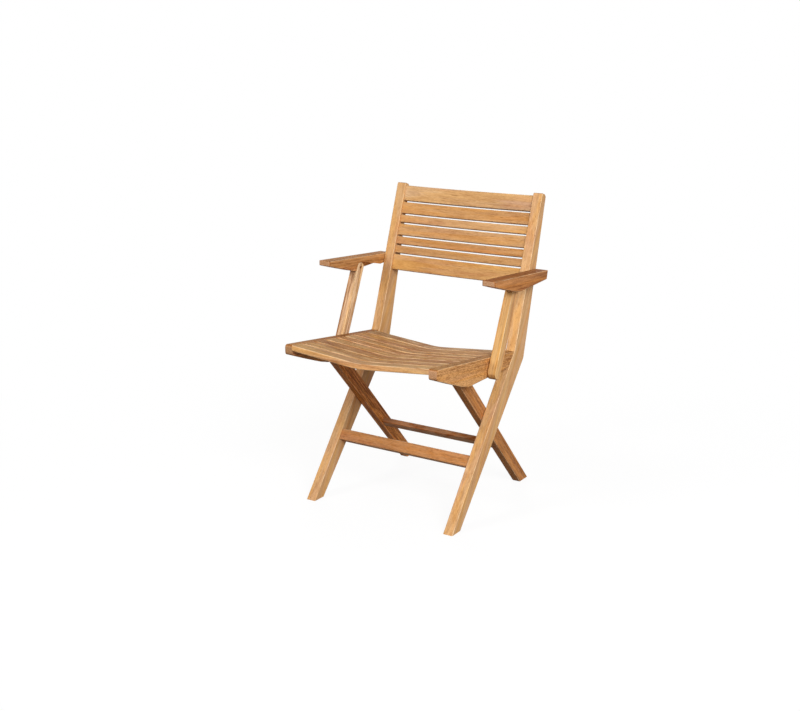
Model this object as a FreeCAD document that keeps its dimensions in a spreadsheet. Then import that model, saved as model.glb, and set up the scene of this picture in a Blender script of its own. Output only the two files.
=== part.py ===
import FreeCAD, Part
import math
import os
import Sketcher

# Folding slatted armchair in solid timber, drawn in millimetres.
# +Z is up, the front of the chair faces -Y and the sitter's left hand is at +X.
# Side outlines are drawn with y counted from the front edge of the front feet and
# z from the floor. Every placement moves them by depth_centre, so that the origin
# of the finished chair is the middle of its footprint on the floor.

doc = FreeCAD.newDocument("folding_armchair")

# name, value in millimetres (a slope or a share where the note says so), note
DIMENSIONS = [
    ("depth_centre", 214.0, "middle of the overall depth, behind the front feet"),
    # across the chair
    ("leg_inner", 189.0, "half of the clear width between the rear legs"),
    ("leg_thick", 25.0, "rear leg, across the chair"),
    ("frame_gap", 1.5, "rear leg to upright, filled by a washer"),
    ("upright_thick", 29.5, "upright, across the chair"),
    ("rail_gap", 4.5, "rear leg to seat rail, filled by a washer"),
    ("rail_thick", 25.0, "seat rail, across the chair"),
    ("arm_gap", 1.5, "upright to armrest, filled by a washer"),
    ("post_thick", 25.0, "post, across the chair"),
    ("recess_play", 0.5, "side play of the post in the recess of the armrest"),
    ("arm_wall", 15.0, "outer wall of the armrest beside the recess"),
    # pivots, seen from the side
    ("fold_pivot_y", 238.0, "crossing of rear leg and upright"),
    ("fold_pivot_z", 262.0, "crossing of rear leg and upright"),
    ("seat_pivot_y", 89.0, "rear leg in the seat rail"),
    ("seat_pivot_drop", 44.8, "that pivot below the top of the rail"),
    ("stay_pivot_y", 193.0, "foot of the post on the seat rail"),
    ("stay_pivot_drop", 43.3, "that pivot below the top of the rail"),
    ("post_pivot_y", 291.0, "head of the post in the armrest"),
    ("post_pivot_z", 638.0, "head of the post in the armrest"),
    ("arm_pivot_y", 442.0, "armrest on the upright"),
    ("arm_pivot_z", 646.0, "armrest on the upright"),
    # uprights: front leg and back stile in one bent board
    ("upright_foot", 45.0, "foot length on the floor"),
    ("knee_front_y", 346.0, "front edge at the bend"),
    ("knee_front_z", 444.0, "front edge at the bend"),
    ("knee_rear_y", 399.0, "rear edge at the bend"),
    ("knee_rear_z", 407.0, "rear edge at the bend"),
    ("top_front_y", 491.5, "front edge at the top"),
    ("top_front_z", 871.0, "front edge at the top"),
    ("top_depth", 24.0, "front to rear at the top, square to the stile"),
    ("knee_front_round", 55.0, "radius of the bend, front edge"),
    ("knee_rear_round", 28.0, "radius of the bend, rear edge"),
    ("top_front_round", 4.0, "top corner, front"),
    ("top_rear_round", 10.0, "top corner, rear"),
    # rear legs
    ("leg_foot_y", 460.0, "front edge of the rear foot"),
    ("leg_foot", 50.0, "foot length on the floor"),
    ("leg_head_round", 21.5, "radius of the head round the seat pivot"),
    # stretchers, laid along the slope of their legs
    ("front_bar_up", 232.4, "distance up the leg to the top edge of the bar"),
    ("front_bar_height", 33.0, "bar, along the leg"),
    ("front_bar_thick", 20.0, "bar, across the leg"),
    ("front_bar_set", 4.0, "bar behind the front edge of the leg"),
    ("rear_bar_up", 190.7, "distance up the leg to the lower edge of the bar"),
    ("rear_bar_height", 24.3, "bar, along the leg"),
    ("rear_bar_thick", 17.0, "bar, across the leg"),
    ("rear_bar_set", 4.0, "bar behind the front edge of the leg"),
    # seat rails
    ("seat_front_y", -85.0, "front of the seat"),
    ("seat_front_z", 486.0, "top of the seat at its front"),
    ("seat_slope", 0.1105, "fall of the seat per unit of depth"),
    ("rail_nose", 28.0, "height of the rail at its front end"),
    ("rail_belly_front_y", -12.0, "underside, first corner"),
    ("rail_belly_front_drop", 56.0, "that corner below the top of the seat at its front"),
    ("rail_belly_mid_y", 47.0, "underside, second corner"),
    ("rail_belly_mid_drop", 77.5, "that corner below the top of the seat at its front"),
    ("rail_belly_rear_y", 82.0, "underside, where it turns level"),
    ("rail_drop", 87.0, "level underside below the top of the seat at its front"),
    ("rail_nose_round", 8.0, "corners of the front end"),
    ("rest_gap", 0.2, "rail end to the upright that it bears on"),
    # seat slats
    ("seat_slat_thick", 16.0, "slat, square to the seat"),
    ("seat_flank", 191.5, "straight part at each end of a slat"),
    ("seat_dish_slope", 0.088, "slope of the straight ends"),
    ("seat_slat_gap", 6.0, "gap between slats"),
    ("seat_slat_a", 44.3, "first slat, from the front"),
    ("seat_slat_b", 50.3, "second slat"),
    ("seat_slat_c", 48.3, "third slat"),
    ("seat_slat_d", 46.3, "fourth slat"),
    ("seat_slat_e", 35.2, "fifth slat"),
    ("seat_slat_f", 38.2, "sixth slat"),
    ("seat_slat_g", 61.4, "seventh slat"),
    ("seat_slat_k", 51.5, "eighth slat"),
    ("seat_nose_round", 3.0, "top front edge of the first slat"),
    # back slats
    ("back_slat_thick", 18.0, "slat, square to the stile"),
    ("back_slat_set", 5.0, "slat behind the front edge of the stile"),
    ("back_bow", 8.0, "set back of the slats at mid width"),
    ("back_top", 7.3, "top of the stile above the highest slat"),
    ("back_slat_gap", 5.2, "gap between slats"),
    ("back_wide", 46.1, "lowest and highest slats"),
    ("back_medium", 34.0, "second and fourth slats from the top"),
    ("back_narrow", 22.4, "the other slats"),
    # armrests
    ("arm_front_y", 136.0, "front end"),
    ("arm_rear_y", 455.0, "rear end"),
    ("arm_top_front_z", 680.0, "top at the front end"),
    ("arm_slope", 0.066, "fall of the top per unit of length"),
    ("arm_tip", 14.0, "height of the front end"),
    ("arm_a_y", 188.0, "first corner of the underside"),
    ("arm_a_height", 25.6, "height of the armrest there"),
    ("arm_b_y", 258.0, "second corner of the underside"),
    ("arm_b_height", 40.0, "height of the armrest there"),
    ("arm_c_y", 289.0, "third corner of the underside"),
    ("arm_c_height", 42.4, "height of the armrest there"),
    ("arm_d_y", 358.0, "fourth corner of the underside"),
    ("arm_d_height", 35.4, "height of the armrest there"),
    ("arm_rear_height", 25.0, "height of the rear end"),
    ("arm_rear_rake", 6.0, "lower rear corner ahead of the upper one"),
    ("arm_end_round", 6.0, "upright edges of the front end"),
    ("recess_air", 1.2, "air round the head of the post"),
    ("recess_roof_slope", 0.2217, "fall of the roof of the recess per unit of length"),
    ("recess_length", 104.0, "recess behind the post pivot"),
    # posts
    ("post_depth", 31.5, "post, front to rear"),
    # hardware
    ("pin_round", 4.0, "radius of the pivot pins"),
    ("pin_seat", 0.02, "radial play of a pin in the board that holds it"),
    ("pin_run", 0.06, "radial play of a pin in the board that turns"),
    ("pin_hold", 18.0, "depth of a pin in the board that holds it"),
    ("pin_reach", 17.0, "depth of a pin in the board that turns"),
    ("pin_end_air", 1.0, "air past the end of a pin"),
    ("washer_round", 9.0, "outer radius of the washers"),
    ("washer_play", 0.25, "air at each side of a washer that turns against wood"),
    ("stay_air", 0.3, "air past the pin and round its cup at the open pivot"),
    ("bolt_head_round", 5.0, "radius of the bolt head in the post"),
    ("bolt_head_height", 3.5, "height of that head"),
    ("bolt_head_deep", 2.5, "head below the face of the post"),
    ("bolt_hold", 9.0, "depth of that bolt in the outer wall of the armrest"),
    ("socket_round", 2.0, "radius of the six-sided key socket's inner circle"),
    ("socket_deep", 2.0, "depth of the key socket"),
    ("cup_wall", 1.5, "wall of the cup that takes the pin at the foot of the post"),
    # softened edges
    ("ease", 2.0, "long edges of the boards"),
    ("slat_ease", 1.6, "long edges of the slats"),
    ("overrun", 1.0, "how far a cutting shape runs past the face that it opens"),
]
# A point this close to a corner or a plane counts as lying on it
NEAR = 0.01

sheet = doc.addObject("Spreadsheet::Sheet", "dims")
for row, (name, value, note) in enumerate(DIMENSIONS, start=1):
    sheet.set("A%d" % row, name)
    sheet.set("B%d" % row, str(value))
    sheet.set("C%d" % row, note)
    sheet.setAlias("B%d" % row, name)
doc.recompute()
NAMES = sorted((entry[0] for entry in DIMENSIONS), key=len, reverse=True)
probe = doc.addObject("App::FeaturePython", "probe")
parts = {}


def ref(text):
    """A formula in the names above, as an expression on the sheet."""
    words = []
    word = ""
    for letter in text + " ":
        if letter.isalnum() or letter == "_":
            word += letter
            continue
        words.append("dims." + word if word in NAMES else word)
        words.append(letter)
        word = ""
    return "".join(words).strip()


def value(text):
    """The number that a formula gives now."""
    result = probe.evalExpression(ref(text))
    return float(getattr(result, "Value", result))


def bind(item, prop, text):
    item.setExpression(prop, ref(text))


# Planes across the chair, counted from its middle
LEG_OUT = "(leg_inner + leg_thick)"
UP_IN = "(leg_inner + leg_thick + frame_gap)"
UP_OUT = "(leg_inner + leg_thick + frame_gap + upright_thick)"
RAIL_IN = "(leg_inner + leg_thick + rail_gap)"
RAIL_OUT = "(leg_inner + leg_thick + rail_gap + rail_thick)"
ARM_IN = "(leg_inner + leg_thick + frame_gap + upright_thick + arm_gap)"
ARM_WIDTH = "(post_thick + recess_play + arm_wall)"

# Slope of the lower front edge of the upright, as depth per height
LEAN = "(knee_front_y / knee_front_z)"

# Top of the seat rails, at a depth
SEAT_TOP = "(seat_front_z - seat_slope * (%s - seat_front_y))"
SEAT_PIVOT_Z = "(%s - seat_pivot_drop)" % SEAT_TOP % "seat_pivot_y"
STAY_PIVOT_Z = "(%s - stay_pivot_drop)" % SEAT_TOP % "stay_pivot_y"
RAIL_BOTTOM_Z = "(seat_front_z - rail_drop)"

# Front edge of the stile, from the bend to the top
STILE_Y = "(top_front_y - knee_front_y)"
STILE_Z = "(top_front_z - knee_front_z)"
STILE = "sqrt(%s ^ 2 + %s ^ 2)" % (STILE_Y, STILE_Z)


def add_sketch(body, name, plane, offset=None):
    sketch = body.newObject("Sketcher::SketchObject", name)
    for feature in body.Origin.OriginFeatures:
        if feature.Role == plane:
            sketch.AttachmentSupport = [(feature, "")]
    sketch.MapMode = "FlatFace"
    if offset is not None:
        bind(sketch, "AttachmentOffset.Base.z", offset)
    return sketch


def fix_point(sketch, item, end, label, u_text, v_text):
    """Hold one end of a line or arc at its place on the two axes."""
    axes = (("DistanceX", -2, u_text, "_u"), ("DistanceY", -1, v_text, "_v"))
    for kind, axis, text, suffix in axes:
        if text == "0":
            sketch.addConstraint(Sketcher.Constraint("PointOnObject", item, end, axis))
            continue
        spot = sketch.addConstraint(Sketcher.Constraint(kind, -1, 1, item, end, value(text)))
        sketch.renameConstraint(spot, label + suffix)
        bind(sketch, "Constraints." + label + suffix, text)


def angles(centre, first, middle, last):
    """Start and end angle of the arc through three points, counter-clockwise."""
    turn = 2 * math.pi
    a, m, b = (math.atan2(p.y - centre.y, p.x - centre.x) for p in (first, middle, last))
    if (m - a) % turn < (b - a) % turn:
        return a, a + (b - a) % turn
    return b, b + (a - b) % turn


def draw(sketch, corners):
    """Closed outline. A corner is (u, v) or (u, v, radius, side), where the last two
    make the run to the next corner an arc whose middle lies to that side."""
    count = len(corners)
    spots = [FreeCAD.Vector(value(c[0]), value(c[1]), 0) for c in corners]
    ends = []
    for index, corner in enumerate(corners):
        first = spots[index]
        last = spots[(index + 1) % count]
        if len(corner) == 2:
            item = sketch.addGeometry(Part.LineSegment(first, last), False)
            ends.append((item, 1, 2))
            continue
        radius = value(corner[2])
        chord = last - first
        half = chord.Length / 2
        normal = FreeCAD.Vector(-chord.y, chord.x, 0) / chord.Length
        rise = radius - math.sqrt(radius * radius - half * half)
        middle = (first + last) / 2 - normal * (corner[3] * rise)
        centre = Part.Arc(first, middle, last).toShape().Curve.Center
        circle = Part.Circle(centre, FreeCAD.Vector(0, 0, 1), radius)
        curve = Part.ArcOfCircle(circle, *angles(centre, first, middle, last))
        item = sketch.addGeometry(curve, False)
        swapped = (curve.StartPoint - first).Length > (curve.EndPoint - first).Length
        ends.append((item, 2, 1) if swapped else (item, 1, 2))
        spot = sketch.addConstraint(Sketcher.Constraint("Radius", item, radius))
        sketch.renameConstraint(spot, "radius%d" % index)
        bind(sketch, "Constraints.radius%d" % index, corner[2])
    for index in range(count):
        here = ends[index]
        after = ends[(index + 1) % count]
        sketch.addConstraint(Sketcher.Constraint("Coincident", here[0], here[2], after[0], after[1]))
        fix_point(sketch, here[0], here[1], "corner%d" % index, corners[index][0], corners[index][1])
    return sketch


def draw_circle(sketch, radius, u_text, v_text):
    spot = FreeCAD.Vector(value(u_text), value(v_text), 0)
    item = sketch.addGeometry(Part.Circle(spot, FreeCAD.Vector(0, 0, 1), value(radius)), False)
    number = sketch.addConstraint(Sketcher.Constraint("Radius", item, value(radius)))
    sketch.renameConstraint(number, "radius")
    bind(sketch, "Constraints.radius", radius)
    fix_point(sketch, item, 3, "centre", u_text, v_text)
    return sketch


def draw_stadium(sketch, radius, lower, upper, foot=None):
    """Board with a round head about each centre, or with a straight foot."""
    low = FreeCAD.Vector(value(lower[0]), value(lower[1]), 0)
    high = FreeCAD.Vector(value(upper[0]), value(upper[1]), 0)
    size = value(radius)
    axis = (high - low).normalize()
    side = FreeCAD.Vector(axis.y, -axis.x, 0)
    lean = math.atan2(side.y, side.x)
    up = FreeCAD.Vector(0, 0, 1)
    head = sketch.addGeometry(
        Part.ArcOfCircle(Part.Circle(high, up, size), lean, lean + math.pi), False)
    if foot is None:
        start, end = low + side * size, low - side * size
    else:
        start = FreeCAD.Vector(value(foot[1]), 0, 0)
        end = FreeCAD.Vector(value(foot[0]), 0, 0)
    right = sketch.addGeometry(Part.LineSegment(start, high + side * size), False)
    left = sketch.addGeometry(Part.LineSegment(high - side * size, end), False)
    sketch.addConstraint(Sketcher.Constraint("Tangent", right, 2, head, 1))
    sketch.addConstraint(Sketcher.Constraint("Tangent", head, 2, left, 1))
    number = sketch.addConstraint(Sketcher.Constraint("Radius", head, size))
    sketch.renameConstraint(number, "head")
    bind(sketch, "Constraints.head", radius)
    fix_point(sketch, head, 3, "upper", upper[0], upper[1])
    if foot is None:
        tail = sketch.addGeometry(
            Part.ArcOfCircle(Part.Circle(low, up, size), lean + math.pi, lean + 2 * math.pi), False)
        sketch.addConstraint(Sketcher.Constraint("Tangent", left, 2, tail, 1))
        sketch.addConstraint(Sketcher.Constraint("Tangent", tail, 2, right, 1))
        fix_point(sketch, tail, 3, "lower", lower[0], lower[1])
    else:
        sole = sketch.addGeometry(Part.LineSegment(end, start), False)
        sketch.addConstraint(Sketcher.Constraint("Coincident", left, 2, sole, 1))
        sketch.addConstraint(Sketcher.Constraint("Coincident", sole, 2, right, 1))
        fix_point(sketch, sole, 1, "sole_front", foot[0], "0")
        fix_point(sketch, sole, 2, "sole_rear", foot[1], "0")
    return sketch


def new_body(label):
    body = doc.addObject("PartDesign::Body", label)
    body.Label = label
    parts[label] = body
    return body


def pad(body, sketch, length, reverse=False, middle=False):
    feature = body.newObject("PartDesign::Pad", sketch.Name + "_pad")
    feature.Profile = sketch
    feature.Reversed = reverse
    feature.Midplane = middle
    bind(feature, "Length", length)
    sketch.Visibility = False
    body.Tip = feature
    doc.recompute()
    return feature


def cut(body, sketch, depth, towards):
    """Pocket from the sketch plane towards its positive or negative side."""
    before = body.Shape.Volume
    feature = body.newObject("PartDesign::Pocket", sketch.Name + "_cut")
    feature.Profile = sketch
    feature.Reversed = towards > 0
    bind(feature, "Length", depth)
    body.Tip = feature
    doc.recompute()
    if not body.Shape.Volume < before - NEAR:
        raise RuntimeError("nothing was cut by " + feature.Name)
    return feature


def soften(body, base, edges, radius, name):
    if not edges:
        raise RuntimeError("no edges for " + name)
    feature = body.newObject("PartDesign::Fillet", name)
    feature.Base = (base, edges)
    bind(feature, "Radius", radius)
    body.Tip = feature
    doc.recompute()
    return feature


def cross_edges(feature, corners, axis=0):
    """Straight edges along one axis that stand on the given corners of the outline."""
    found = []
    keep = [k for k in range(3) if k != axis]
    for index, edge in enumerate(feature.Shape.Edges, start=1):
        if len(edge.Vertexes) != 2:
            continue
        first, last = edge.Vertexes[0].Point, edge.Vertexes[1].Point
        for corner in corners:
            target = (value(corner[0]), value(corner[1]))
            near = [abs(p[k] - t) < NEAR for p in (first, last) for k, t in zip(keep, target)]
            if all(near):
                found.append("Edge%d" % index)
    return found


def face_edges(feature, axis=0, skip=None):
    """Edges that lie in a plane square to the axis: the rims of a board's two faces."""
    found = []
    for index, edge in enumerate(feature.Shape.Edges, start=1):
        places = [v.Point[axis] for v in edge.Vertexes]
        places.append(edge.valueAt((edge.FirstParameter + edge.LastParameter) / 2)[axis])
        if max(places) - min(places) > NEAR:
            continue
        if skip is not None and skip(edge.CenterOfMass):
            continue
        found.append("Edge%d" % index)
    return found


def place_side(body, inner, side):
    """Set a side board with its inner face at its plane, right (+1) or left (-1)."""
    bind(body, "Placement.Base.x", inner if side > 0 else "-" + inner)
    bind(body, "Placement.Base.y", "-depth_centre")


def bore(body, name, spot, radius, depth, side, outer=None):
    """Blind hole from the inner face, or from the outer face of a board so thick."""
    if outer is None:
        plane, towards = None, side
    else:
        plane, towards = ("%s" if side > 0 else "-(%s)") % outer, -side
    sketch = add_sketch(body, name, "YZ_Plane", plane)
    draw_circle(sketch, radius, spot[0], spot[1])
    cut(body, sketch, depth, towards)


FOLD = ("fold_pivot_y", "fold_pivot_z")
SEAT = ("seat_pivot_y", SEAT_PIVOT_Z)
STAY = ("stay_pivot_y", STAY_PIVOT_Z)
POST = ("post_pivot_y", "post_pivot_z")
ARM = ("arm_pivot_y", "arm_pivot_z")
HELD = "pin_round + pin_seat"
TURNS = "pin_round + pin_run"
SIDES = (("left", -1), ("right", 1))

# Uprights: one bent board each, from the front foot to the top of the back
UPRIGHT = [
    ("0", "0"),
    ("upright_foot", "0"),
    ("knee_rear_y", "knee_rear_z"),
    ("top_front_y + top_depth * %s / %s" % (STILE_Z, STILE),
     "top_front_z - top_depth * %s / %s" % (STILE_Y, STILE)),
    ("top_front_y", "top_front_z"),
    ("knee_front_y", "knee_front_z"),
]
for word, side in SIDES:
    body = new_body(word + "_upright")
    sketch = draw(add_sketch(body, word + "_upright_side", "YZ_Plane"), UPRIGHT)
    board = pad(body, sketch, "upright_thick", side < 0)
    rounds = (
        (UPRIGHT[2], "knee_rear_round"),
        (UPRIGHT[3], "top_rear_round"),
        (UPRIGHT[4], "top_front_round"),
        (UPRIGHT[5], "knee_front_round"),
    )
    for number, (corner, radius) in enumerate(rounds):
        board = soften(body, board, cross_edges(board, [corner]), radius,
                       "%s_upright_corner%d" % (word, number))
    rims = face_edges(board, skip=lambda c: c.z < NEAR)
    board = soften(body, board, rims, "ease", word + "_upright_rims")
    bore(body, word + "_upright_fold_hole", FOLD, HELD, "pin_hold + pin_end_air", side)
    bore(body, word + "_upright_arm_hole", ARM, HELD, "pin_hold + pin_end_air", side, "upright_thick")
    place_side(body, UP_IN, side)

# Rear legs: round head about the seat pivot, tapering to the foot
FOOT_FRONT = "leg_foot_y"
FOOT_REAR = "leg_foot_y + leg_foot"
FOOT_MIDDLE = ("leg_foot_y + leg_foot / 2", "0")
for word, side in SIDES:
    body = new_body(word + "_rear_leg")
    sketch = add_sketch(body, word + "_rear_leg_side", "YZ_Plane")
    draw_stadium(sketch, "leg_head_round", FOOT_MIDDLE, SEAT, (FOOT_FRONT, FOOT_REAR))
    board = pad(body, sketch, "leg_thick", side < 0)
    rims = face_edges(board, skip=lambda c: c.z < NEAR)
    soften(body, board, rims, "ease", word + "_rear_leg_rims")
    hole = "pin_reach + pin_end_air"
    bore(body, word + "_leg_fold_hole", FOLD, TURNS, hole, side, "leg_thick")
    bore(body, word + "_leg_seat_hole", SEAT, TURNS, hole, side, "leg_thick")
    place_side(body, "leg_inner", side)


# Any turn about X: it sets the axis, and the angle is bound to its formula afterwards
TILTED = FreeCAD.Placement(FreeCAD.Vector(0, 0, 0), FreeCAD.Rotation(FreeCAD.Vector(1, 0, 0), -1))


def stretcher(label, half, lean_y, lean_z, foot_y, up, height, thick, setback):
    """Bar between two legs, its front face along their slope (lean_y, lean_z)."""
    body = new_body(label)
    sketch = draw(add_sketch(body, label + "_section", "YZ_Plane"), [
        ("0", "0"), (thick, "0"), (thick, height), ("0", height)])
    bar = pad(body, sketch, "2 * " + half, middle=True)
    corners = [("0", "0"), (thick, "0"), (thick, height), ("0", height)]
    soften(body, bar, cross_edges(bar, corners), "ease", label + "_edges")
    run = "sqrt((%s) ^ 2 + (%s) ^ 2)" % (lean_y, lean_z)
    body.Placement = TILTED
    bind(body, "Placement.Rotation.Angle", "-atan((%s) / (%s))" % (lean_y, lean_z))
    along = "((%s) / %s)"
    bind(body, "Placement.Base.y", "%s + (%s) * %s + (%s) * %s - depth_centre" % (
        foot_y, up, along % (lean_y, run), setback, along % (lean_z, run)))
    bind(body, "Placement.Base.z", "(%s) * %s - (%s) * %s" % (
        up, along % (lean_z, run), setback, along % (lean_y, run)))


stretcher("front_stretcher", UP_IN, "knee_front_y", "knee_front_z", "0",
          "front_bar_up - front_bar_height", "front_bar_height", "front_bar_thick", "front_bar_set")
# The front edge of a rear leg runs from its foot and touches the round of its head
LEG_Y = "(seat_pivot_y - leg_foot_y)"
LEG_EDGE = "sqrt(%s ^ 2 + %s ^ 2 - leg_head_round ^ 2)" % (LEG_Y, SEAT_PIVOT_Z)
stretcher("rear_stretcher", "leg_inner",
          "%s * %s - %s * leg_head_round" % (LEG_Y, LEG_EDGE, SEAT_PIVOT_Z),
          "%s * %s + %s * leg_head_round" % (SEAT_PIVOT_Z, LEG_EDGE, LEG_Y), "leg_foot_y",
          "rear_bar_up", "rear_bar_height", "rear_bar_thick", "rear_bar_set")

# Seat rails: level underside, rear end cut to bear on the front edge of the upright
REST_Y = "rest_gap * sqrt(1 + %s ^ 2)" % LEAN
RAIL_REAR_Y = "((%s * (seat_front_z + seat_slope * seat_front_y) - %s) / (1 + %s * seat_slope))" % (
    LEAN, REST_Y, LEAN)
RAIL = [
    ("seat_front_y", "seat_front_z"),
    ("seat_front_y", "seat_front_z - rail_nose"),
    ("rail_belly_front_y", "seat_front_z - rail_belly_front_drop"),
    ("rail_belly_mid_y", "seat_front_z - rail_belly_mid_drop"),
    ("rail_belly_rear_y", RAIL_BOTTOM_Z),
    ("%s * %s - %s" % (LEAN, RAIL_BOTTOM_Z, REST_Y), RAIL_BOTTOM_Z),
    (RAIL_REAR_Y, SEAT_TOP % RAIL_REAR_Y),
]
for word, side in SIDES:
    body = new_body(word + "_seat_rail")
    sketch = draw(add_sketch(body, word + "_seat_rail_side", "YZ_Plane"), RAIL)
    board = pad(body, sketch, "rail_thick", side < 0)
    board = soften(body, board, cross_edges(board, RAIL[0:2]), "rail_nose_round", word + "_rail_nose")
    outer = side * value("rail_thick")
    rims = [e for e in face_edges(board) if abs(board.Shape.getElement(e).Vertexes[0].X - outer) < NEAR]
    board = soften(body, board, rims, "ease", word + "_rail_rims")
    bore(body, word + "_rail_seat_hole", SEAT, HELD, "pin_hold + pin_end_air", side)
    bore(body, word + "_rail_stay_hole", STAY, HELD, "pin_hold + pin_end_air", side, "rail_thick")
    place_side(body, RAIL_IN, side)

# Seat slats: dished board, straight at both ends and hollowed between, set along the rails
DISH = "(seat_dish_slope / sqrt(1 + seat_dish_slope ^ 2))"
DISH_RISE = "(1 / sqrt(1 + seat_dish_slope ^ 2))"
HOLLOW = "(%s - seat_flank)" % RAIL_IN
DROP = "(seat_dish_slope * seat_flank)"
TOP_RADIUS = "%s / %s" % (HOLLOW, DISH)
UNDER_X = "%s + seat_slat_thick * %s" % (HOLLOW, DISH)
UNDER_Z = "-%s - seat_slat_thick * %s" % (DROP, DISH_RISE)
END_Z = "-seat_slat_thick / " + DISH_RISE
SEAT_SLAT = [
    ("-" + RAIL_IN, "0"),
    ("-" + HOLLOW, "-" + DROP, TOP_RADIUS, 1),
    (HOLLOW, "-" + DROP),
    (RAIL_IN, "0"),
    (RAIL_IN, END_Z),
    (UNDER_X, UNDER_Z, TOP_RADIUS + " + seat_slat_thick", -1),
    ("-(%s)" % UNDER_X, UNDER_Z),
    ("-" + RAIL_IN, END_Z),
]
SEAT_RUN = "(1 / sqrt(1 + seat_slope ^ 2))"


def runs_across(edge):
    """True where an edge runs from side to side of the chair."""
    return abs(edge.Vertexes[0].X - edge.Vertexes[-1].X) > NEAR


def top_edges(board, depth):
    """Rims of the hollowed top at the given depth of the slat."""
    level = -value(DROP) - value("seat_slat_thick") / 2
    found = []
    for name in face_edges(board, 1):
        edge = board.Shape.getElement(name)
        middle = edge.CenterOfMass
        if runs_across(edge) and middle.z > level and abs(middle.y - depth) < NEAR:
            found.append(name)
    return found


start = "0"
for number, letter in enumerate("abcdefgk", start=1):
    label = "seat_slat_%d" % number
    width = "seat_slat_" + letter
    body = new_body(label)
    sketch = draw(add_sketch(body, label + "_section", "XZ_Plane"), SEAT_SLAT)
    board = pad(body, sketch, width, True)
    nose = "seat_nose_round" if number == 1 else "slat_ease"
    board = soften(body, board, top_edges(board, 0), nose, label + "_front")
    soften(body, board, top_edges(board, value(width)), "slat_ease", label + "_rear")
    body.Placement = TILTED
    bind(body, "Placement.Rotation.Angle", "-atan(seat_slope)")
    bind(body, "Placement.Base.y", "seat_front_y + (%s) * %s - depth_centre" % (start, SEAT_RUN))
    bind(body, "Placement.Base.z", "seat_front_z - (%s) * seat_slope * %s" % (start, SEAT_RUN))
    start += " + %s + seat_slat_gap" % width

# Back slats: bowed to the rear in plan, stacked up the stiles
BOW = "((%s ^ 2 + back_bow ^ 2) / (2 * back_bow))" % UP_IN
BOW_REAR = "(back_bow - %s + sqrt((%s + back_slat_thick) ^ 2 - %s ^ 2))" % (BOW, BOW, UP_IN)
BACK_SLAT = [
    ("-" + UP_IN, "0", BOW, -1),
    (UP_IN, "0"),
    (UP_IN, BOW_REAR, BOW + " + back_slat_thick", 1),
    ("-" + UP_IN, BOW_REAR),
]
ROWS = ["wide", "narrow", "narrow", "medium", "narrow", "medium", "wide"]
start = "%s - back_top - back_slat_gap * %d" % (STILE, len(ROWS) - 1)
start += "".join(" - back_" + size for size in ROWS)
for number, size in enumerate(ROWS, start=1):
    label = "back_slat_%d" % number
    body = new_body(label)
    sketch = draw(add_sketch(body, label + "_plan", "XY_Plane"), BACK_SLAT)
    board = pad(body, sketch, "back_" + size)
    rims = [n for n in face_edges(board, 2) if runs_across(board.Shape.getElement(n))]
    soften(body, board, rims, "slat_ease", label + "_edges")
    body.Placement = TILTED
    bind(body, "Placement.Rotation.Angle", "-atan(%s / %s)" % (STILE_Y, STILE_Z))
    bind(body, "Placement.Base.y", "knee_front_y + ((%s) * %s + back_slat_set * %s) / %s - depth_centre" % (
        start, STILE_Y, STILE_Z, STILE))
    bind(body, "Placement.Base.z", "knee_front_z + ((%s) * %s - back_slat_set * %s) / %s" % (
        start, STILE_Z, STILE_Y, STILE))
    start += " + back_%s + back_slat_gap" % size

# Armrests: thick board with a belly, recessed from the inner side for the post
ARM_TOP = "arm_top_front_z - arm_slope * (%s - arm_front_y)"
ARMREST = [
    ("arm_front_y", "arm_top_front_z"),
    ("arm_front_y", "arm_top_front_z - arm_tip"),
    ("arm_a_y", ARM_TOP % "arm_a_y" + " - arm_a_height"),
    ("arm_b_y", ARM_TOP % "arm_b_y" + " - arm_b_height"),
    ("arm_c_y", ARM_TOP % "arm_c_y" + " - arm_c_height"),
    ("arm_d_y", ARM_TOP % "arm_d_y" + " - arm_d_height"),
    ("arm_rear_y - arm_rear_rake", ARM_TOP % "arm_rear_y" + " - arm_rear_height"),
    ("arm_rear_y", ARM_TOP % "arm_rear_y"),
]
# Direction of the post at rest, from its foot to its head
POST_LONG = "sqrt((post_pivot_y - stay_pivot_y) ^ 2 + (post_pivot_z - %s) ^ 2)" % STAY_PIVOT_Z
POST_Y = "((post_pivot_y - stay_pivot_y) / %s)" % POST_LONG
POST_Z = "((post_pivot_z - %s) / %s)" % (STAY_PIVOT_Z, POST_LONG)
ARCH = "(post_depth / 2 + recess_air)"
ROOF_Y = "(recess_roof_slope / sqrt(1 + recess_roof_slope ^ 2))"
ROOF_Z = "(1 / sqrt(1 + recess_roof_slope ^ 2))"
WALL_RUN = "(post_depth * 1.5)"
RECESS = [
    ("post_pivot_y - %s * %s - %s * %s" % (ARCH, POST_Z, WALL_RUN, POST_Y),
     "post_pivot_z + %s * %s - %s * %s" % (ARCH, POST_Y, WALL_RUN, POST_Z)),
    ("post_pivot_y - %s * %s" % (ARCH, POST_Z), "post_pivot_z + %s * %s" % (ARCH, POST_Y), ARCH, -1),
    ("post_pivot_y + %s * %s" % (ARCH, ROOF_Y), "post_pivot_z + %s * %s" % (ARCH, ROOF_Z)),
    ("post_pivot_y + recess_length + %s * %s" % (ARCH, ROOF_Y),
     "post_pivot_z + %s * %s - recess_length * recess_roof_slope" % (ARCH, ROOF_Z)),
    ("post_pivot_y + recess_length + %s * %s" % (ARCH, ROOF_Y),
     "post_pivot_z + %s * %s - %s * %s" % (ARCH, POST_Y, WALL_RUN, POST_Z)),
]
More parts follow.
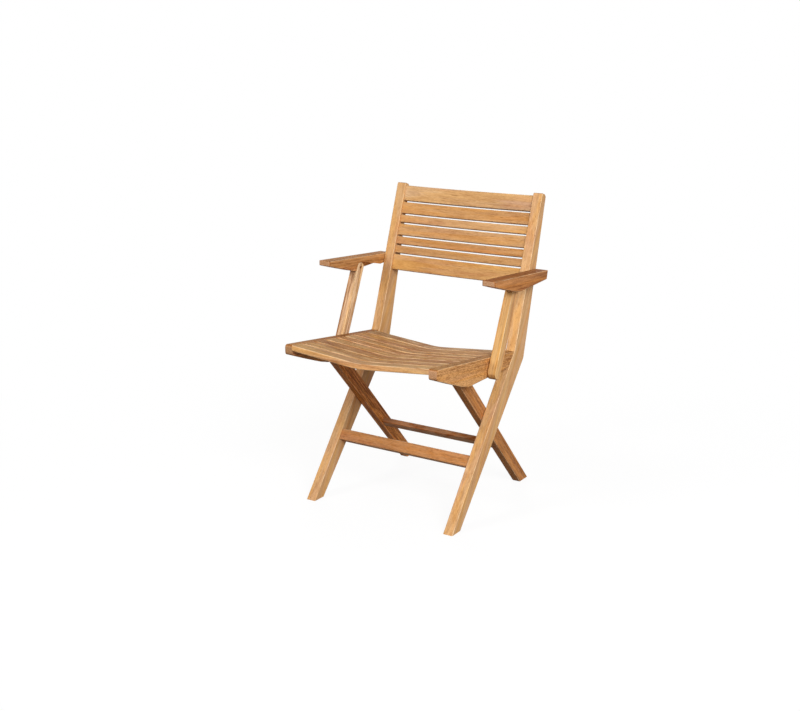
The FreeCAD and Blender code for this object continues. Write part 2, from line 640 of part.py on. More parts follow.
for word, side in SIDES:
    body = new_body(word + "_armrest")
    sketch = draw(add_sketch(body, word + "_armrest_side", "YZ_Plane"), ARMREST)
    board = pad(body, sketch, ARM_WIDTH, side < 0)
    tips = [n for n in face_edges(board)
            if abs(board.Shape.getElement(n).CenterOfMass.y - value("arm_front_y")) < NEAR]
    board = soften(body, board, tips, "arm_end_round", word + "_armrest_tip")
    rims = face_edges(board)
    board = soften(body, board, rims, "ease", word + "_armrest_rims")
    sketch = draw(add_sketch(body, word + "_armrest_recess", "YZ_Plane"), RECESS)
    cut(body, sketch, "post_thick + recess_play", side)
    bore(body, word + "_armrest_pivot_hole", ARM, TURNS, "pin_reach + pin_end_air", side)
    bore(body, word + "_armrest_bolt_hole", POST, HELD,
         "post_thick + recess_play + bolt_hold + pin_end_air", side)
    place_side(body, ARM_IN, side)

# Posts: a deeper than wide section with a round head and a round foot
for word, side in SIDES:
    body = new_body(word + "_post")
    sketch = add_sketch(body, word + "_post_side", "YZ_Plane")
    draw_stadium(sketch, "post_depth / 2", STAY, POST)
    board = pad(body, sketch, "post_thick", side < 0)
    board = soften(body, board, face_edges(board), "ease", word + "_post_rims")
    sketch = draw_circle(add_sketch(body, word + "_post_bolt_hole", "YZ_Plane"), TURNS, POST[0], POST[1])
    cut(body, sketch, "post_thick", side)
    bore(body, word + "_post_head_seat", POST, "bolt_head_round + stay_air",
         "bolt_head_deep + bolt_head_height + washer_play", side)
    bore(body, word + "_post_cup_hole", STAY, "pin_round + cup_wall + stay_air + pin_seat",
         "pin_reach + pin_end_air + cup_wall + pin_seat", side)
    place_side(body, ARM_IN, side)


def hardware(label, solids):
    """Group of separate solids under one name."""
    group = doc.addObject("Part::Compound", label)
    group.Label = label
    group.Links = solids
    parts[label] = group
    return group


ALONG_X = FreeCAD.Placement(FreeCAD.Vector(0, 0, 0), FreeCAD.Rotation(FreeCAD.Vector(0, 1, 0), 90))


def rod(name, radius, start, length, spot, side):
    """Round bar along X: start and length are counted outwards from the middle."""
    item = doc.addObject("Part::Cylinder", name)
    bind(item, "Radius", radius)
    bind(item, "Height", length)
    item.Placement = ALONG_X
    inner = start if side > 0 else "-((%s) + (%s))" % (start, length)
    bind(item, "Placement.Base.x", inner)
    bind(item, "Placement.Base.y", spot[0] + " - depth_centre")
    bind(item, "Placement.Base.z", spot[1])
    return item


def ring(name, outer, inner, start, length, spot, side):
    """Round bar with a hole right through."""
    disc = rod(name + "_disc", outer, start, length, spot, side)
    hole = rod(name + "_hole", inner, "(%s) - overrun" % start, "(%s) + 2 * overrun" % length, spot, side)
    item = doc.addObject("Part::Cut", name)
    item.Base = disc
    item.Tool = hole
    return item


# Pivot pins: held in one board, turning in the next, with a washer in the gap
PINS = (
    ("fold_pivot", FOLD, LEG_OUT, "frame_gap", "pin_reach", "pin_hold"),
    ("seat_pivot", SEAT, LEG_OUT, "rail_gap", "pin_reach", "pin_hold"),
    ("arm_pivot", ARM, UP_OUT, "arm_gap", "pin_hold", "pin_reach"),
)
for name, spot, plane, gap, inward, outward in PINS:
    pins = [rod("%s_pin_%s" % (word, name), "pin_round", "%s - %s" % (plane, inward),
                "%s + %s + %s" % (inward, gap, outward), spot, side) for word, side in SIDES]
    hardware(name + "_pins", pins)
    near = "0" if name == "arm_pivot" else "washer_play"
    rings = [ring("%s_washer_%s" % (word, name), "washer_round", TURNS,
                  "%s + %s" % (plane, near), "%s - washer_play" % gap, spot, side) for word, side in SIDES]
    hardware(name + "_washers", rings)

# Foot of each post: a pin held in the seat rail, ending inside a cup in the post
GAP = "(frame_gap + upright_thick + arm_gap - rail_gap - rail_thick)"
stays = [rod(word + "_stay_pin", "pin_round", "%s - pin_hold" % RAIL_OUT,
             "pin_hold + %s - stay_air" % GAP, STAY, side) for word, side in SIDES]
hardware("stay_pins", stays)
rings = [ring(word + "_stay_washer", "washer_round", HELD, RAIL_OUT, "%s - stay_air" % GAP, STAY, side)
         for word, side in SIDES]
hardware("stay_washers", rings)
for word, side in SIDES:
    shell = rod(word + "_cup_shell", "pin_round + cup_wall + stay_air", ARM_IN,
                "pin_reach + pin_end_air + cup_wall", STAY, side)
    room = rod(word + "_cup_room", "pin_round + stay_air", ARM_IN + " - overrun",
               "pin_reach + pin_end_air + overrun", STAY, side)
    cup = doc.addObject("Part::Cut", word + "_post_cup")
    cup.Label = word + "_post_cup"
    cup.Base = shell
    cup.Tool = room
    parts[word + "_post_cup"] = cup

# Head of each post: a bolt held in the outer wall of the armrest, its head sunk in the post
for word, side in SIDES:
    head_start = ARM_IN + " + bolt_head_deep"
    head = rod(word + "_bolt_head", "bolt_head_round", head_start, "bolt_head_height", POST, side)
    shank = rod(word + "_bolt_shank", "pin_round", head_start + " + bolt_head_height / 2",
                "post_thick + recess_play + bolt_hold - bolt_head_deep - bolt_head_height / 2", POST, side)
    whole = doc.addObject("Part::Fuse", word + "_bolt_blank")
    whole.Base = head
    whole.Tool = shank
    key = doc.addObject("Part::Prism", word + "_bolt_key")
    key.Polygon = 6
    bind(key, "Circumradius", "socket_round / cos(30)")
    bind(key, "Height", "socket_deep + overrun")
    key.Placement = ALONG_X
    bind(key, "Placement.Base.x", head_start + " - overrun" if side > 0 else
         "-(%s + socket_deep)" % head_start)
    bind(key, "Placement.Base.y", POST[0] + " - depth_centre")
    bind(key, "Placement.Base.z", POST[1])
    bolt = doc.addObject("Part::Cut", word + "_post_bolt")
    bolt.Label = word + "_post_bolt"
    bolt.Base = whole
    bolt.Tool = key
    parts[word + "_post_bolt"] = bolt

doc.recompute()
for item in doc.Objects:
    if "Invalid" in item.State or "Error" in item.State:
        raise RuntimeError("failed: %s %s" % (item.Name, item.State))
for label, item in parts.items():
    if item.Shape.isNull() or not item.Shape.isValid():
        raise RuntimeError("bad shape: " + label)

os.makedirs("parts", exist_ok=True)
for label, item in parts.items():
    item.Shape.exportStep("parts/%s.step" % label)
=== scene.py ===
import math
import random

import bpy
from mathutils import Matrix, Vector


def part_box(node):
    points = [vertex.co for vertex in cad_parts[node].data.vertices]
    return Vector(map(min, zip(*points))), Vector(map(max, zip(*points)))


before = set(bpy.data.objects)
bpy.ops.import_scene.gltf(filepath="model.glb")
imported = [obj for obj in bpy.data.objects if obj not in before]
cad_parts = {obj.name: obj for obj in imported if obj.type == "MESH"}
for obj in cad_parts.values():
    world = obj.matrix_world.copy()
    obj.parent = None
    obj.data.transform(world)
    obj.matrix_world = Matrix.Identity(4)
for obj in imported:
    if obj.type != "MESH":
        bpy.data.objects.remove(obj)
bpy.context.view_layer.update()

# Folding slatted armchair in oiled hardwood. Metres, Z up, the front faces -Y.
# Every piece is a solid of the frame; this script gives each its material, and adds the camera,
# the floor and the light.
scene = bpy.context.scene
draws = random.Random(7)


def srgb(red, green, blue):
    """A colour written as 0-255 screen values, as the linear colour the shaders take."""
    return tuple(((value / 255 + 0.055) / 1.055) ** 2.4 for value in (red, green, blue)) + (1.0,)


# Camera: the photograph's viewpoint
SENSOR_WIDTH = 36.0
FOCAL_LENGTH = 53.13
CAMERA_PLACE = (1.7127, -2.7693, 1.3103)
CAMERA_TILT = math.radians(74.715)
CAMERA_TURN = math.radians(32.612)

camera_data = bpy.data.cameras.new("camera")
camera_data.sensor_width = SENSOR_WIDTH
camera_data.lens = FOCAL_LENGTH
camera = bpy.data.objects.new("camera", camera_data)
camera.location = CAMERA_PLACE
camera.rotation_euler = (CAMERA_TILT, 0.0, CAMERA_TURN)
scene.collection.objects.link(camera)
scene.camera = camera
scene.view_settings.view_transform = "Standard"


# The Mix node's sockets when it mixes colours
MIX_FACTOR = 0
MIX_FIRST = 6
MIX_SECOND = 7
MIX_RESULT = 2


class Tree:
    """Short calls for adding nodes to one node tree."""

    def __init__(self, tree):
        self.tree = tree

    def put(self, node, socket, value):
        """Give a named or numbered input a link or a plain value."""
        entry = node.inputs[socket]
        if isinstance(value, bpy.types.NodeSocket):
            self.tree.links.new(value, entry)
        else:
            entry.default_value = value

    def put_all(self, node, values):
        """Give the inputs these values in order, and leave one alone where the value is None."""
        for index, value in enumerate(values):
            if value is not None:
                self.put(node, index, value)

    def add(self, kind, **inputs):
        node = self.tree.nodes.new(kind)
        for name, value in inputs.items():
            self.put(node, name, value)
        return node

    def coordinates(self):
        return self.add("ShaderNodeTexCoord").outputs

    def math(self, operation, first, second=None, third=None, clamp=False):
        node = self.add("ShaderNodeMath")
        node.operation = operation
        node.use_clamp = clamp
        self.put_all(node, (first, second, third))
        return node.outputs[0]

    def product(self, first, second):
        return self.math("MULTIPLY", first, second)

    def vector(self, operation, first, second=None, third=None):
        node = self.add("ShaderNodeVectorMath")
        node.operation = operation
        self.put_all(node, (first, second, third))
        return node.outputs["Value"] if operation == "LENGTH" else node.outputs["Vector"]

    def noise(self, place, detail=2.0, roughness=0.5):
        """Noise with about one feature in each unit of place."""
        node = self.add("ShaderNodeTexNoise", Vector=place, Scale=1.0, Detail=detail, Roughness=roughness)
        return node.outputs[0]

    def spread(self, value, low, high, to_low=0.0, to_high=1.0):
        """Stretch low to high over to_low to to_high, smoothly and with flat ends."""
        node = self.add("ShaderNodeMapRange")
        node.interpolation_type = "SMOOTHSTEP"
        self.put_all(node, (value, low, high, to_low, to_high))
        return node.outputs[0]

    def mix(self, amount, first, second, blend="MIX"):
        """Blend two colours."""
        node = self.add("ShaderNodeMix")
        node.data_type = "RGBA"
        node.blend_type = blend
        self.put(node, MIX_FACTOR, amount)
        self.put(node, MIX_FIRST, first)
        self.put(node, MIX_SECOND, second)
        return node.outputs[MIX_RESULT]

    def mix_shaders(self, amount, first, second):
        node = self.add("ShaderNodeMixShader")
        self.put_all(node, (amount, first, second))
        return node.outputs[0]

    def split(self, vector):
        return self.add("ShaderNodeSeparateXYZ", Vector=vector).outputs

    def join(self, x, y, z):
        return self.add("ShaderNodeCombineXYZ", X=x, Y=y, Z=z).outputs[0]


# Noise in the timber: features in a metre along the grain and across it, detail, roughness, and
# how far the pattern is moved so that it differs from the others
NOISES = {
    "drift": (1.7, 5.0, 1.0, 0.5, 0.0),
    "dip": (1.3, 6.0, 1.0, 0.5, 4.0),
    "ring_strength": (2.6, 30.0, 2.0, 0.5, 0.0),
    "fibre": (9.0, 330.0, 3.0, 0.65, 0.0),
    "streak": (5.0, 170.0, 3.0, 0.62, 0.0),
    "cloud": (12.0, 62.0, 3.0, 0.70, 0.0),
    "broad": (2.0, 13.0, 2.0, 0.5, 0.0),
    "fleck": (100.0, 400.0, 2.0, 0.6, 0.0),
    "vessel": (52.0, 1300.0, 1.0, 0.5, 0.0),
    "dash": (24.0, 420.0, 1.0, 0.5, 0.0),
    "smudge": (9.0, 75.0, 2.0, 0.5, 0.0),
    "gold": (2.2, 74.0, 2.0, 0.5, 0.0),
    "rose": (3.0, 34.0, 2.0, 0.5, 7.0),
    "end_speck": (300.0, 420.0, 3.0, 0.7, 0.0),
    "edge_wear_and_highlight": (40.0, 90.0, 2.0, 0.5, 0.0),
}

# How far fibres sway from the straight, in metres
SWAY = 0.014

# Growth rings: their width in metres, the least of it and what the noise adds to it as shares, how
# many times in a metre it changes, and how far the rings climb in each metre of the board
RING_WIDTH = 0.0052
RING_LEAST = 0.55
RING_SPREAD = 0.9
RING_CHANGES = 70.0
RING_CLIMB = 0.004

# What the casts leave of the colour
GOLD_CAST = (1.06, 0.97, 0.74, 1.0)
ROSE_CAST = (0.98, 0.91, 1.02, 1.0)

# Dark marks in the timber: what each leaves of the colour, and how strong it is
VESSELS = ((0.38, 0.25, 0.16, 1.0), 0.45)
DASHES = ((0.42, 0.28, 0.18, 1.0), 0.60)
SMUDGES = ((0.60, 0.44, 0.32, 1.0), 0.55)
END_RIM = ((0.58, 0.42, 0.32, 1.0), 0.55)

# How much of the end grain's own colour shows, and what wear and a painted highlight add at the edges
END_STRENGTH = 0.85
EDGE_WEAR_AND_HIGHLIGHT = ((1.0, 0.80, 0.54, 1.0), 0.40)

# Weather is painted shade that darkens the faces that lie upward
GRAIN_INPUTS = (("Place", "Vector"), ("Facing", "Vector"), ("Pith", "Vector"), ("Light", "Color"),
                ("Dark", "Color"), ("End", "Color"), ("Rings", "Float"), ("Streaks", "Float"),
                ("Mottle", "Float"), ("Flecks", "Float"), ("Upward", "Float"), ("Weather", "Color"),
                ("Sides", "Color"))
GRAIN_OUTPUTS = (("Color", "Color"), ("Roughness", "Float"), ("Height", "Float"))


def grain_noise(t, name, place):
    """One of the noises in the table, drawn out along the grain."""
    along, across, detail, roughness, moved = NOISES[name]
    counts = (along, across, across)
    if moved:
        return t.noise(t.vector("MULTIPLY_ADD", place, counts, (moved, moved, moved)), detail, roughness)
    return t.noise(t.vector("MULTIPLY", place, counts), detail, roughness)


def mark(t, colour, where, look, blend="MULTIPLY"):
    """Lay one of the marks over the colour, where it is."""
    shade, strength = look
    return t.mix(t.product(where, strength), colour, shade, blend)


def growth_rings(t, line, pith):
    """Dark late wood in rings round a far pith, strong in some stretches and faint in others."""
    from_pith = t.split(t.vector("SUBTRACT", line, pith))
    square = t.math("ADD", t.product(from_pith[1], from_pith[1]), t.product(from_pith[2], from_pith[2]))
    radius = t.math("MULTIPLY_ADD", from_pith[0], RING_CLIMB, t.math("SQRT", square))
    uneven = t.noise(t.join(0.0, t.product(radius, RING_CHANGES), 0.0), 1.0)
    width = t.product(t.math("MULTIPLY_ADD", uneven, RING_SPREAD, RING_LEAST), RING_WIDTH)
    phase = t.math("FRACT", t.math("DIVIDE", radius, width))
    late = t.product(t.spread(phase, 0.25, 0.90), t.spread(phase, 0.92, 1.0, 1.0, 0.0))
    return t.product(late, t.spread(grain_noise(t, "ring_strength", line), 0.36, 0.66, 0.25, 1.0))


def grain_group():
    """Sawn timber as a solid texture. Place is in metres with X along the grain, Y across
    the board and Z through it; Facing is the surface normal in the same axes. Upward is
    the normal's upward part on the open chair."""
    group = bpy.data.node_groups.new("sawn_timber", "ShaderNodeTree")
    for side, sockets in (("INPUT", GRAIN_INPUTS), ("OUTPUT", GRAIN_OUTPUTS)):
        for name, kind in sockets:
            group.interface.new_socket(name, in_out=side, socket_type="NodeSocket" + kind)
    t = Tree(group)
    given = t.add("NodeGroupInput").outputs
    place = given["Place"]

    # fibres that drift a little from the straight
    drift = t.math("MULTIPLY_ADD", grain_noise(t, "drift", place), SWAY, -SWAY / 2)
    dip = t.math("MULTIPLY_ADD", grain_noise(t, "dip", place), SWAY, -SWAY / 2)
    line = t.vector("ADD", place, t.join(0.0, drift, dip))

    late = growth_rings(t, line, given["Pith"])
    fibre = grain_noise(t, "fibre", line)
    cloud = grain_noise(t, "cloud", line)
    vessel = t.product(t.spread(grain_noise(t, "vessel", line), 0.60, 0.72),
                       t.math("MULTIPLY_ADD", late, -0.5, 0.85))
    dash = t.spread(grain_noise(t, "dash", line), 0.66, 0.76)
    smudge = t.spread(grain_noise(t, "smudge", line), 0.62, 0.78)

    # rings, long streaks, soft clouds of brown, flecks and fibres, from light to dark wood
    tone = t.product(late, given["Rings"])
    streak = t.spread(grain_noise(t, "streak", line), 0.40, 0.70)
    tone = t.math("ADD", tone, t.product(streak, given["Streaks"]))
    tone = t.math("ADD", tone, t.product(t.spread(cloud, 0.32, 0.70), given["Mottle"]))
    fleck = t.spread(grain_noise(t, "fleck", line), 0.40, 0.66)
    tone = t.math("ADD", tone, t.product(fleck, given["Flecks"]))
    tone = t.math("MULTIPLY_ADD", t.spread(fibre, 0.30, 0.70, -0.45, 0.55),
                  t.math("MULTIPLY_ADD", given["Streaks"], 0.8, 0.08), tone)
    broad = t.spread(grain_noise(t, "broad", line), 0.34, 0.66, -0.12, 0.16)
    colour = t.mix(t.math("ADD", tone, broad, clamp=True), given["Light"], given["Dark"])

    # golden and rosy stretches, short dark vessels, dashes and a few smudges
    gold = t.spread(grain_noise(t, "gold", line), 0.44, 0.62, 0.0, 0.9)
    colour = t.mix(gold, colour, GOLD_CAST, "MULTIPLY")
    rose = t.spread(grain_noise(t, "rose", line), 0.48, 0.68, 0.0, 0.8)
    colour = t.mix(rose, colour, ROSE_CAST, "MULTIPLY")
    colour = mark(t, colour, vessel, VESSELS)
    colour = mark(t, colour, dash, DASHES)
    colour = mark(t, colour, smudge, SMUDGES)

    # painted shade: faces that lie upward are darkened and greyed in patches, as the weaker light from
    # above leaves them
    shaded_top = t.product(t.spread(given["Upward"], 0.75, 0.97), t.spread(cloud, 0.2, 0.8, 1.0, 0.8))
    colour = t.mix(shaded_top, colour, given["Weather"], "MULTIPLY")

    # the wide faces have their own cast: partly the wood's face colour and partly painted light, paler
    # and bluer; on the right upright painted shade
    sides = [t.math("ABSOLUTE", part) for part in t.split(given["Facing"])]
    colour = t.mix(t.spread(sides[2], 0.70, 0.95), colour, given["Sides"], "MULTIPLY")

    # end grain is paler and greyer, in rings and specks, with a darker rim
    end = t.spread(sides[0], 0.72, 0.93)
    speck = t.spread(grain_noise(t, "end_speck", place), 0.38, 0.70, 0.0, 0.65)
    end_colour = t.mix(t.math("MULTIPLY_ADD", late, 0.35, speck), given["End"], given["Dark"])
    colour = t.mix(t.product(end, END_STRENGTH), colour, end_colour)
    rim = t.product(t.spread(sides[0], 0.20, 0.50), t.spread(sides[0], 0.72, 0.95, 1.0, 0.0))
    colour = mark(t, colour, rim, END_RIM)

    # eased edges along the grain are lighter in patches: partly rubbed wear, partly a painted highlight
    # where the rounded edge catches the light
    flat = t.math("MAXIMUM", t.math("MAXIMUM", sides[0], sides[1]), sides[2])
    worn_and_lit = t.product(t.spread(flat, 0.80, 0.985, 1.0, 0.0),
                     t.spread(grain_noise(t, "edge_wear_and_highlight", place), 0.25, 0.60))
    worn_and_lit = t.product(worn_and_lit, t.spread(sides[0], 0.15, 0.45, 1.0, 0.0))
    colour = mark(t, colour, worn_and_lit, EDGE_WEAR_AND_HIGHLIGHT, "SCREEN")

    # fibres, end grain and open vessels are rougher, and vessels and dashes lie deeper
    rough = t.math("MULTIPLY_ADD", fibre, 0.16, 0.50)
    rough = t.math("MULTIPLY_ADD", end, 0.16, rough)
    rough = t.math("MULTIPLY_ADD", vessel, 0.12, rough, clamp=True)
    height = t.math("MULTIPLY_ADD", fibre, 0.55, t.product(late, 0.25))
    height = t.math("MULTIPLY_ADD", vessel, -0.7, height)
    height = t.math("MULTIPLY_ADD", dash, -0.5, height)
    t.add("NodeGroupOutput", Color=colour, Roughness=rough, Height=height)
    return group


GRAIN = grain_group()

# Oiled timber: its gloss, and its relief's strength and depth in metres
TIMBER_GLOSS = 0.08
RELIEF_STRENGTH = 0.35
RELIEF_DEPTH = 0.0005


def timber(name, grain, through, origin, **looks):
    """Material for one board: grain is the direction of its fibres, through its thin way, and
    origin the point that its texture is measured from."""
    material = bpy.data.materials.new(name)
    material.use_nodes = True
    t = Tree(material.node_tree)
    shader = material.node_tree.nodes["Principled BSDF"]
    along = Vector(grain).normalized()
    thin = Vector(through).normalized()
    thin = (thin - along * thin.dot(along)).normalized()
    turn = Matrix((along, thin.cross(along), thin)).transposed().to_euler()
    given = t.coordinates()
    place = t.add("ShaderNodeMapping", Vector=given["Object"])
    facing = t.add("ShaderNodeMapping", Vector=given["Normal"])
    for node, start in ((place, origin), (facing, (0.0, 0.0, 0.0))):
        node.vector_type = "TEXTURE"
        node.inputs["Location"].default_value = start
        node.inputs["Rotation"].default_value = turn
    wood = material.node_tree.nodes.new("ShaderNodeGroup")
    wood.node_tree = GRAIN
    t.put(wood, "Place", place.outputs[0])
    t.put(wood, "Facing", facing.outputs[0])
    t.put(wood, "Upward", t.split(given["Normal"])[2])
    for socket, value in looks.items():
        t.put(wood, socket, value)
    bump = t.add("ShaderNodeBump", Strength=RELIEF_STRENGTH, Distance=RELIEF_DEPTH,
                 Height=wood.outputs["Height"])
    t.put(shader, "Base Color", wood.outputs["Color"])
    t.put(shader, "Roughness", wood.outputs["Roughness"])
    t.put(shader, "Normal", bump.outputs[0])
    shader.inputs["Specular IOR Level"].default_value = TIMBER_GLOSS
    return material


def dress(node, material):
    """Give a frame node its material, in every slot that it has."""
    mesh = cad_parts[node].data
    if not mesh.materials:
        mesh.materials.append(material)
    for index in range(len(mesh.materials)):
        mesh.materials[index] = material


# Directions along the grain of the boards and through their thin way
ACROSS = (1.0, 0.0, 0.0)
UPRIGHT_GRAIN = (0.0, 0.491, 0.871)
LEG_GRAIN = (0.0, -0.395, 0.422)
RAIL_GRAIN = (0.0, 1.0, -0.112)
ARM_GRAIN = (0.0, 1.0, -0.066)
POST_GRAIN = (0.0, 0.098, 0.228)
SEAT_UP = (0.0, 0.112, 1.0)
BACK_FRONT = (0.0, -0.9466, 0.3225)

# Tones of the boards: light wood, dark wood, end grain
PALE = (srgb(240, 200, 152), srgb(160, 106, 62), srgb(214, 172, 130))
STRAW = (srgb(232, 198, 152), srgb(150, 104, 62), srgb(210, 172, 132))
WHEAT = (srgb(239, 191, 136), srgb(174, 115, 66), srgb(214, 172, 130))
HONEY = (srgb(236, 188, 132), srgb(172, 116, 66), srgb(214, 172, 128))
GOLD = (srgb(234, 186, 122), srgb(172, 114, 62), srgb(214, 172, 126))
SAND = (srgb(230, 176, 116), srgb(164, 106, 58), srgb(206, 164, 122))
CLAY = (srgb(218, 164, 106), srgb(156, 102, 56), srgb(200, 156, 118))
AMBER = (srgb(226, 168, 104), srgb(152, 98, 52), srgb(216, 170, 132))
# EMBER is saturated beyond the wood: painted warm light, for the left rear leg in the seat's shade
EMBER = (srgb(218, 146, 76), srgb(130, 77, 36), srgb(206, 158, 112))
# TOBACCO is partly the rear stretcher's own colour and partly painted warm light of the seat's shade, in
# its deep saturation
TOBACCO = (srgb(220, 133, 58), srgb(118, 62, 24), srgb(206, 158, 112))
RUST = (srgb(212, 146, 86), srgb(138, 84, 44), srgb(222, 180, 142))
WALNUT = (srgb(196, 140, 88), srgb(118, 74, 42), srgb(178, 138, 100))

# Painted shade on faces that lie upward: what it leaves of the colour, on the seat and elsewhere
SEAT_TOP_SHADE = (0.64, 0.69, 0.72, 1.0)
FRAME_TOP_SHADE = (0.56, 0.53, 0.50, 1.0)

# What the wide faces of a board have of its colour. The paler sides are partly the wood's face colour and
# partly painted light, paler and bluer; the right upright's sides are painted shade
PALER_SIDES = (1.03, 1.08, 1.22, 1.0)
EVEN_SIDES = (1.0, 1.0, 1.0, 1.0)
PAINTED_SHADE_SIDES = (0.91, 0.91, 0.91, 1.0)

# How strong the rings, streaks, mottling and flecks are
UPRIGHT_FIGURE = (0.12, 0.28, 0.12, 0.06)
FRONT_SLAT_FIGURE = (0.25, 0.45, 0.25, 0.25)
SEAT_FIGURE = (0.25, 0.75, 0.25, 0.25)
BACK_FIGURE = (0.10, 0.12, 0.30, 0.16)

# Each board: its grain, its thin way, its tone, how light it is, its wide faces and its figure
BOARDS = {
    "left_upright": (UPRIGHT_GRAIN, ACROSS, WHEAT, 0.83, EVEN_SIDES, UPRIGHT_FIGURE),
    # The right upright: lightness raised and wide faces given painted shade, so that its front face takes
    # painted light
    "right_upright": (UPRIGHT_GRAIN, ACROSS, WHEAT, 0.91, PAINTED_SHADE_SIDES, UPRIGHT_FIGURE),
    # Painted light: the left rear leg is made lighter and warmer, standing in for the light that reaches
    # it in the seat's shade
    "left_rear_leg": (LEG_GRAIN, ACROSS, EMBER, 1.40, PALER_SIDES, (0.35, 0.60, 0.35, 0.35)),
    "right_rear_leg": (LEG_GRAIN, ACROSS, RUST, 0.93, PALER_SIDES, (0.30, 0.45, 0.30, 0.30)),
    "front_stretcher": (ACROSS, BACK_FRONT, RUST, 0.93, EVEN_SIDES, (0.12, 0.25, 0.15, 0.30)),
    # The rear stretcher's saturated tone is partly painted warm light of the seat's shade
    "rear_stretcher": (ACROSS, BACK_FRONT, TOBACCO, 0.87, EVEN_SIDES, (0.20, 0.35, 0.30, 0.20)),
    "left_seat_rail": (RAIL_GRAIN, ACROSS, WALNUT, 1.18, PALER_SIDES, (0.25, 0.35, 0.30, 0.20)),
    "right_seat_rail": (RAIL_GRAIN, ACROSS, AMBER, 0.93, PALER_SIDES, (0.10, 0.30, 0.12, 0.60)),
    "left_armrest": (ARM_GRAIN, ACROSS, AMBER, 0.90, PALER_SIDES, (0.20, 0.55, 0.30, 0.20)),
    "right_armrest": (ARM_GRAIN, ACROSS, RUST, 0.86, PALER_SIDES, (0.20, 0.60, 0.20, 0.20)),
    "left_post": (POST_GRAIN, ACROSS, STRAW, 1.04, PALER_SIDES, (0.15, 0.80, 0.10, 0.05)),
    "right_post": (POST_GRAIN, ACROSS, GOLD, 0.93, PALER_SIDES, (0.15, 0.35, 0.25, 0.10)),
}

# The slats, the seat's from the front and the back's from below
SEAT_LOOKS = ((HONEY, 0.97), (HONEY, 0.99), (SAND, 0.94), (HONEY, 1.04), (SAND, 1.02), (HONEY, 1.00),
              (SAND, 1.10), (PALE, 1.10))
BACK_LOOKS = ((GOLD, 0.86), (SAND, 0.77), (CLAY, 0.91), (HONEY, 0.84), (HONEY, 0.82), (SAND, 0.89),
              (PALE, 0.82))
for number, (tone, shade) in enumerate(SEAT_LOOKS, 1):
    figure = FRONT_SLAT_FIGURE if number == 1 else SEAT_FIGURE
    BOARDS["seat_slat_%d" % number] = (ACROSS, SEAT_UP, tone, shade, EVEN_SIDES, figure)
for number, (tone, shade) in enumerate(BACK_LOOKS, 1):
    BOARDS["back_slat_%d" % number] = (ACROSS, BACK_FRONT, tone, shade, EVEN_SIDES, BACK_FIGURE)

# Every board is cut from another place in the wood, and differs a little in lightness and warmth
for node, (grain, through, tone, shade, sides, figure) in BOARDS.items():
    low, high = (Vector(corner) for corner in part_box(node))
    shift = Vector((draws.uniform(-3.0, 3.0), draws.uniform(-0.01, 0.01), draws.uniform(-0.005, 0.005)))
    gain = shade * draws.uniform(0.98, 1.02)
    warm = draws.uniform(-0.02, 0.02)
    tint = (gain * (1.0 + warm), gain, gain * (1.0 - warm), 1.0)
    light, dark, end = ([a * b for a, b in zip(colour, tint)] for colour in tone)
    rings, streaks, mottle, flecks = figure
    pith = (0.0, draws.uniform(-0.05, 0.05), -draws.uniform(0.12, 0.40))
    # painted shade for the board's upward faces
    top_shade = SEAT_TOP_SHADE if "seat" in node else FRAME_TOP_SHADE
    dress(node, timber(node + "_timber", grain, through, (low + high) / 2 + shift, Light=light, Dark=dark,
                       End=end, Rings=rings, Streaks=streaks, Mottle=mottle, Flecks=flecks, Pith=pith,
                       Weather=top_shade, Sides=sides))


# Aged brass: turning marks and clouds of tarnish in a metre, its colours, and its relief
BRASS_MARKS = (2600.0, 500.0, 500.0)
BRASS_CLOUDS = (220.0, 220.0, 220.0)
BRASS_BRIGHT = srgb(190, 140, 84)
BRASS_BROWN = srgb(128, 84, 48)
MARKS_STRENGTH = 0.2
MARKS_DEPTH = 0.0001


def brass():
    """Solid brass gone brown with age, with fine turning marks."""
    material = bpy.data.materials.new("aged_brass")
    material.use_nodes = True
    t = Tree(material.node_tree)
    shader = material.node_tree.nodes["Principled BSDF"]
    place = t.coordinates()["Object"]
    fine = t.noise(t.vector("MULTIPLY", place, BRASS_MARKS), 3.0)
    dull = t.noise(t.vector("MULTIPLY", place, BRASS_CLOUDS), 3.0)
    colour = t.mix(t.spread(dull, 0.35, 0.65), BRASS_BRIGHT, BRASS_BROWN)
    t.put(shader, "Base Color", colour)
    t.put(shader, "Roughness", t.math("MULTIPLY_ADD", fine, 0.25, 0.30))
    shader.inputs["Metallic"].default_value = 1.0
    bump = t.add("ShaderNodeBump", Strength=MARKS_STRENGTH, Distance=MARKS_DEPTH, Height=fine)
    t.put(shader, "Normal", bump.outputs[0])
    return material


BRASS = brass()
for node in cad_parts:
    if node not in BOARDS:
        dress(node, BRASS)


# Floor, backdrop and light
WHITE = (1.0, 1.0, 1.0, 1.0)
WORLD_COLOUR = (1.0, 0.98, 0.98, 1.0)
WORLD_STRENGTH = 0.42

# The floor: how far it reaches in metres, and its colour where it is seen and for the light that
# it throws back
FLOOR_SPAN = 40.0
FLOOR_SEEN = (0.98, 0.98, 0.98, 1.0)
FLOOR_UNSEEN = (0.07, 0.07, 0.07, 1.0)

# The seen floor glows white, a little less near the object, where its shadow shows
FLOOR_NEAR = 0.5
FLOOR_FAR = 1.8
GLOW_NEAR = 0.90
GLOW_FAR = 1.0

# Where the lamps point
AIM = (0.0, 0.0, 0.45)
LOW_AIM = (0.0, 0.0, 0.35)


def seen_directly(t):
    """1 for a ray that comes from the camera, a reflection or clear glass."""
    path = t.add("ShaderNodeLightPath").outputs
    first = t.math("MAXIMUM", path["Is Camera Ray"], path["Is Glossy Ray"])
    return t.math("MAXIMUM", first, path["Is Transmission Ray"])


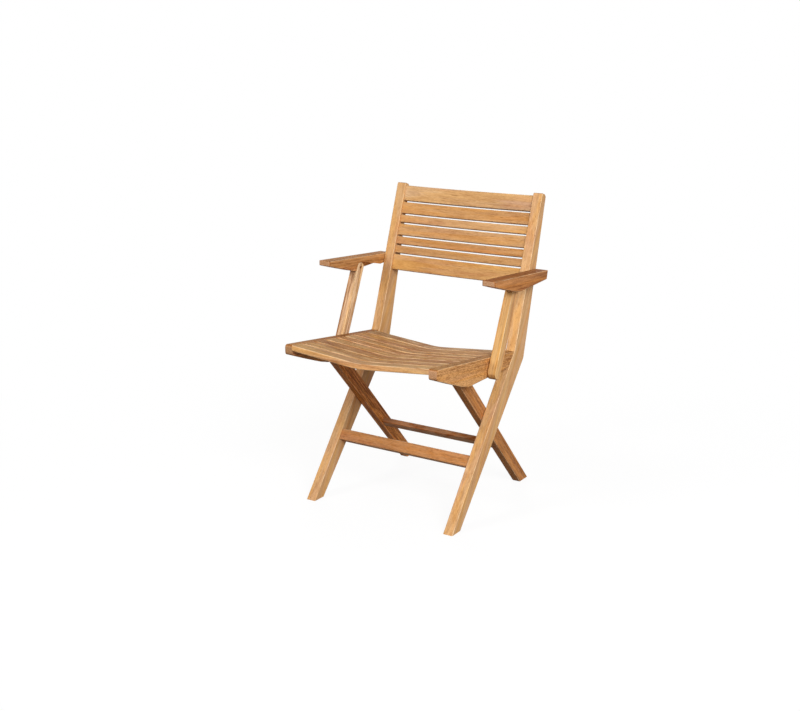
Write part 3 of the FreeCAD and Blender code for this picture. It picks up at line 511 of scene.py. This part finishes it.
def studio_world():
    """White where it is seen, and a soft light on the object."""
    world = bpy.data.worlds.new("studio")
    world.use_nodes = True
    t = Tree(world.node_tree)
    back = world.node_tree.nodes["Background"]
    back.inputs["Color"].default_value = WORLD_COLOUR
    back.inputs["Strength"].default_value = WORLD_STRENGTH
    white = t.add("ShaderNodeBackground", Color=WHITE, Strength=1.0)
    surface = t.mix_shaders(seen_directly(t), back.outputs[0], white.outputs[0])
    t.put(world.node_tree.nodes["World Output"], "Surface", surface)
    return world


def pale_floor():
    """Nearly white where it is seen, with the object's shadow, and dark to the light that it
    throws back."""
    material = bpy.data.materials.new("pale_floor")
    material.use_nodes = True
    t = Tree(material.node_tree)
    shader = material.node_tree.nodes["Principled BSDF"]
    seen = seen_directly(t)
    t.put(shader, "Base Color", t.mix(seen, FLOOR_UNSEEN, FLOOR_SEEN))
    shader.inputs["Roughness"].default_value = 0.9
    glow = t.add("ShaderNodeEmission", Color=WHITE, Strength=1.0)
    reach = t.vector("LENGTH", t.coordinates()["Object"])
    amount = t.product(seen, t.spread(reach, FLOOR_NEAR, FLOOR_FAR, GLOW_NEAR, GLOW_FAR))
    surface = t.mix_shaders(amount, shader.outputs[0], glow.outputs[0])
    t.put(material.node_tree.nodes["Material Output"], "Surface", surface)
    return material


def lamp(name, place, aim, size, power, colour, glossy=True):
    """A round area lamp; without glossy it isn't mirrored in the wood."""
    data = bpy.data.lights.new(name, "AREA")
    data.shape = "DISK"
    data.size = size
    data.energy = power
    data.color = colour
    item = bpy.data.objects.new(name, data)
    item.location = place
    item.rotation_euler = (Vector(aim) - Vector(place)).to_track_quat("-Z", "Y").to_euler()
    item.visible_glossy = glossy
    scene.collection.objects.link(item)


scene.world = studio_world()

floor_mesh = bpy.data.meshes.new("floor")
corners = [(x * FLOOR_SPAN, y * FLOOR_SPAN, 0.0) for x, y in ((-1, -1), (1, -1), (1, 1), (-1, 1))]
floor_mesh.from_pydata(corners, [], [(0, 1, 2, 3)])
floor = bpy.data.objects.new("floor", floor_mesh)
scene.collection.objects.link(floor)
floor_mesh.materials.append(pale_floor())

lamp("key", (-2.74, -4.35, 3.87), AIM, size=1.6, power=120.0, colour=(1.0, 0.985, 0.97))
lamp("broad", (3.30, -2.52, 2.95), AIM, size=2.3, power=168.0, colour=(0.985, 0.985, 1.0))
lamp("low", (3.23, -1.05, 0.55), LOW_AIM, size=1.0, power=17.0, colour=(1.0, 0.97, 0.93), glossy=False)
lamp("rear", (-2.4, 3.6, 2.0), AIM, size=2.5, power=70.0, colour=(1.0, 0.985, 0.96), glossy=False)
